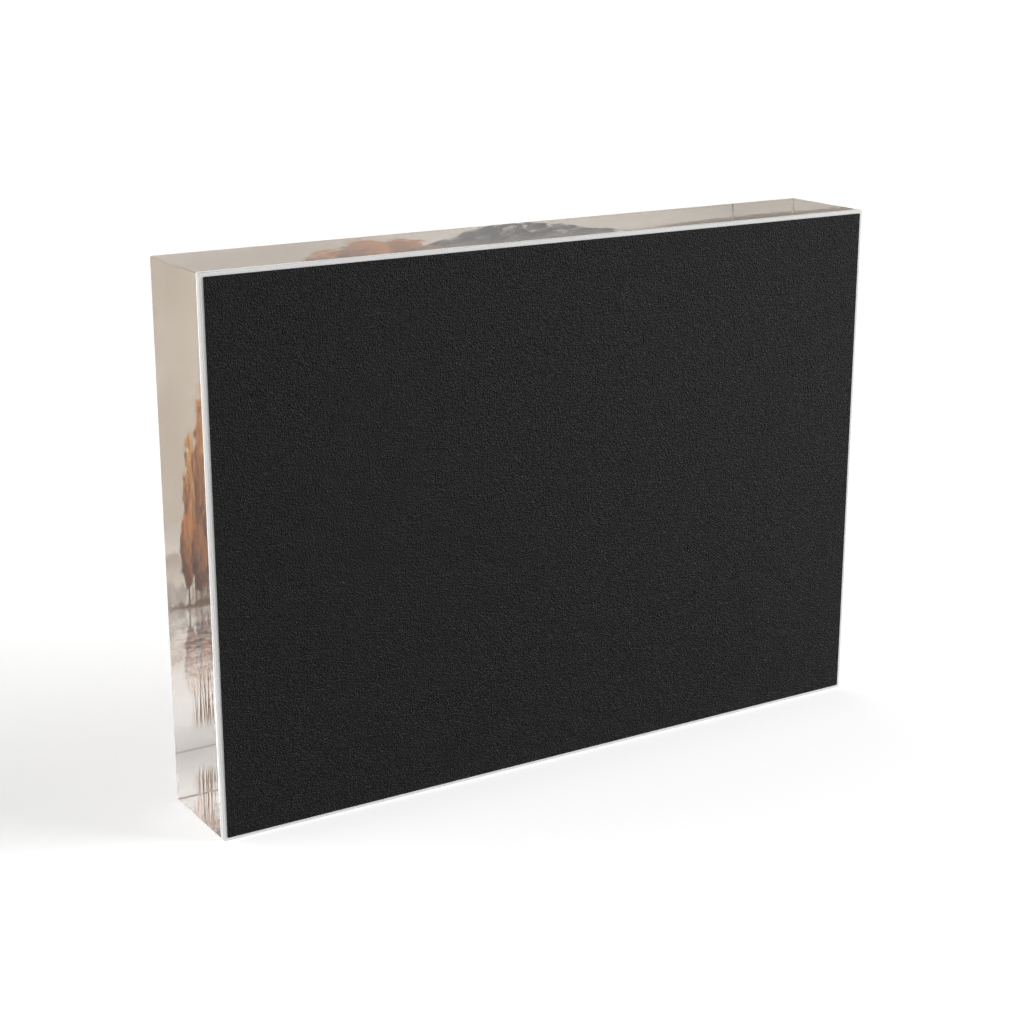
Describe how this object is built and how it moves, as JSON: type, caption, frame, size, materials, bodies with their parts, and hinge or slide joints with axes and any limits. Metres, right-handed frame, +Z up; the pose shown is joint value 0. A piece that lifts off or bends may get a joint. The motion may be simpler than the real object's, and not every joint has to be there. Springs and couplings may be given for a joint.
{
  "type": "acrylic photo block",
  "caption": "Free-standing clear acrylic photo block: a print bonded behind a thick polished slab, closed by a white backer board and a black grained backing sheet.",
  "frame": {"origin": "middle of the underside, on the surface that the block stands on, midway between the front face and the back of the black sheet", "axes": "+Z up; X along the width, with +X on the right of someone who looks at the picture; the picture faces -Y and the black back faces +Y"},
  "size_m": [0.1778, 0.0268, 0.127],
  "materials": {
    "clear_acrylic": "polished",
    "clear_adhesive": "gloss",
    "photo_paper": "satin",
    "white_board": "satin",
    "black_vinyl": "satin"
  },
  "bodies": {
    "root": {"acrylic_block": "clear_acrylic", "mounting_film": "clear_adhesive", "photo_print": "photo_paper", "print_adhesive": "clear_adhesive", "backer_board": "white_board", "backing_adhesive": "clear_adhesive", "backing_sheet": "black_vinyl"}
  },
  "joints": []
}
